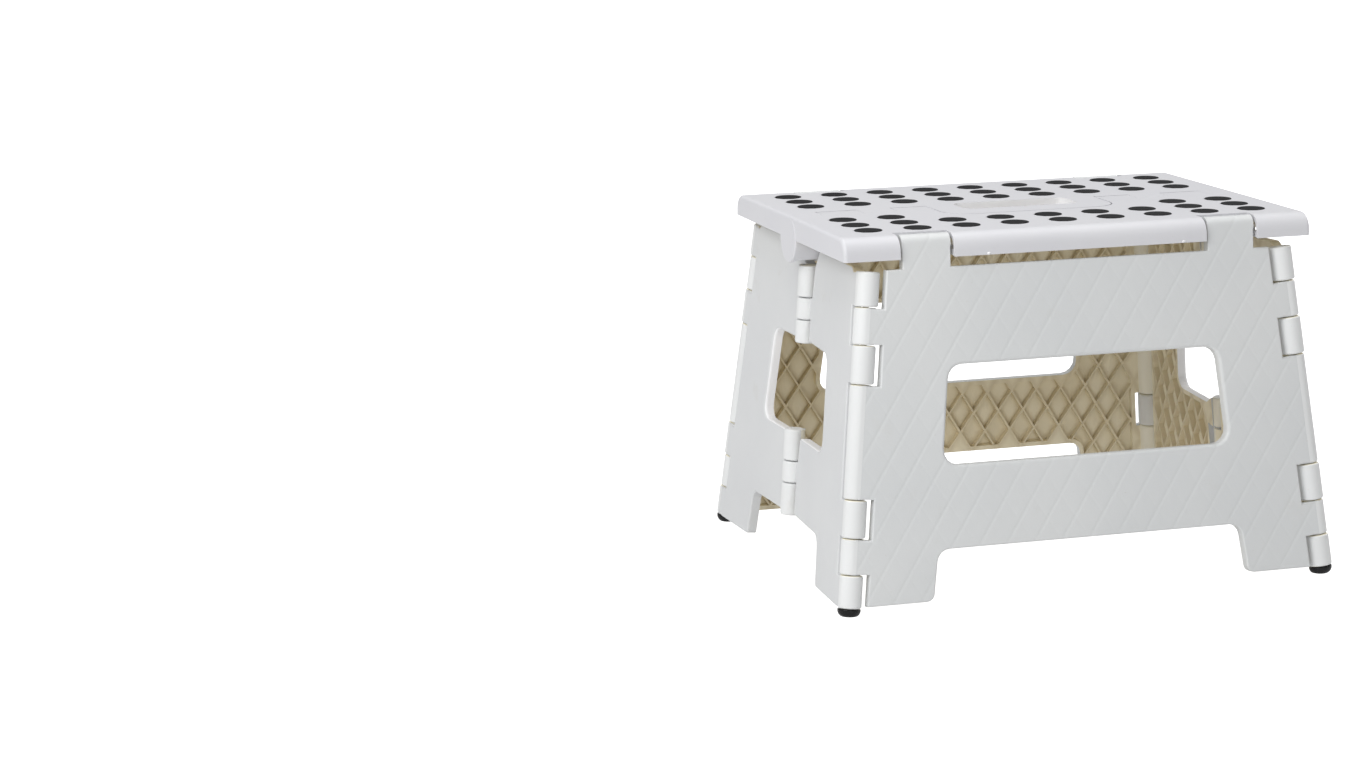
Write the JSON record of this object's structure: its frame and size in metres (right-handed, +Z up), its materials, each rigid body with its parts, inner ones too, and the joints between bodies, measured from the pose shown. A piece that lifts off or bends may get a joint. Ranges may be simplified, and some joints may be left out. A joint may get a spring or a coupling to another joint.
{
  "type": "folding step stool",
  "caption": "Low folding step stool with a two-part tread on hinged leg panels and inward-folding sides, raised rubber grip dots and a carrying handle in the tread.",
  "frame": {"origin": "on the floor under the middle of the open stool", "axes": "+X along the long side of the tread, +Y to the tread half that carries the handle, +Z up"},
  "size_m": [0.3214, 0.2646, 0.2224],
  "materials": {
    "tread_white": "satin moulded polypropylene, cool white",
    "panel_white": "satin moulded polypropylene, warm white",
    "grip_rubber": "matte black, finely textured",
    "foot_rubber": "semi-gloss black",
    "hinge_steel": "plain drawn wire, hidden in the knuckles"
  },
  "bodies": {
    "rear_leg": {"rear_leg_panel": "panel_white"},
    "rear_top": {"rear_grip_inner": "grip_rubber", "rear_grip_middle": "grip_rubber", "rear_grip_outer": "grip_rubber", "rear_tab_pin_left": "hinge_steel", "rear_tab_pin_right": "hinge_steel", "rear_top_panel": "tread_white"},
    "front_top": {"front_grip_inner_left": "grip_rubber", "front_grip_inner_right": "grip_rubber", "front_grip_middle": "grip_rubber", "front_grip_outer": "grip_rubber", "front_tab_pin_left": "hinge_steel", "front_tab_pin_right": "hinge_steel", "front_top_panel": "tread_white"},
    "front_leg": {"front_leg_panel": "panel_white"},
    "left_rear": {"left_lower_mid_rod": "hinge_steel", "left_rear_corner_rod": "hinge_steel", "left_rear_foot": "foot_rubber", "left_rear_side_panel": "panel_white", "left_upper_mid_rod": "hinge_steel"},
    "right_rear": {"right_lower_mid_rod": "hinge_steel", "right_rear_corner_rod": "hinge_steel", "right_rear_foot": "foot_rubber", "right_rear_side_panel": "panel_white", "right_upper_mid_rod": "hinge_steel"},
    "left_front": {"left_front_corner_rod": "hinge_steel", "left_front_foot": "foot_rubber", "left_front_side_panel": "panel_white"},
    "right_front": {"right_front_corner_rod": "hinge_steel", "right_front_foot": "foot_rubber", "right_front_side_panel": "panel_white"}
  },
  "joints": [
    {"name": "fold", "type": "hinge", "parent": "rear_top", "child": "front_top", "pos_m": [0, 0, 0.208], "axis": [1, 0, 0], "range_deg": [0, 180]},
    {"name": "rear_tab_hinge", "type": "hinge", "parent": "rear_leg", "child": "rear_top", "pos_m": [0, 0.1002, 0.216], "axis": [1, 0, 0], "range_deg": [-82.96, 0]},
    {"name": "front_tab_hinge", "type": "hinge", "parent": "front_top", "child": "front_leg", "pos_m": [0, -0.1002, 0.216], "axis": [1, 0, 0], "range_deg": [-82.96, 0]},
    {"name": "left_rear_corner_hinge", "type": "hinge", "parent": "rear_leg", "child": "left_rear", "pos_m": [-0.1542, 0.12588, -0.00012], "axis": [0.1044, -0.1219, 0.987], "range_deg": [0, 87.4]},
    {"name": "right_rear_corner_hinge", "type": "hinge", "parent": "rear_leg", "child": "right_rear", "pos_m": [0.1542, 0.12588, -0.00012], "axis": [-0.1044, -0.1219, 0.987], "range_deg": [-87.4, 0]},
    {"name": "left_front_corner_hinge", "type": "hinge", "parent": "front_leg", "child": "left_front", "pos_m": [-0.1542, -0.12588, -0.00012], "axis": [0.1044, 0.1219, 0.987], "range_deg": [-87.4, 0]},
    {"name": "right_front_corner_hinge", "type": "hinge", "parent": "front_leg", "child": "right_front", "pos_m": [0.1542, -0.12588, -0.00012], "axis": [-0.1044, 0.1219, 0.987], "range_deg": [0, 87.4]}
  ],
  "couplings": [
    {"joint": "rear_tab_hinge", "follows": "fold", "ratio": -0.46089},
    {"joint": "front_tab_hinge", "follows": "fold", "ratio": -0.46089},
    {"joint": "left_rear_corner_hinge", "follows": "fold", "ratio": 0.48556},
    {"joint": "right_rear_corner_hinge", "follows": "fold", "ratio": -0.48556},
    {"joint": "left_front_corner_hinge", "follows": "fold", "ratio": -0.48556},
    {"joint": "right_front_corner_hinge", "follows": "fold", "ratio": 0.48556}
  ]
}
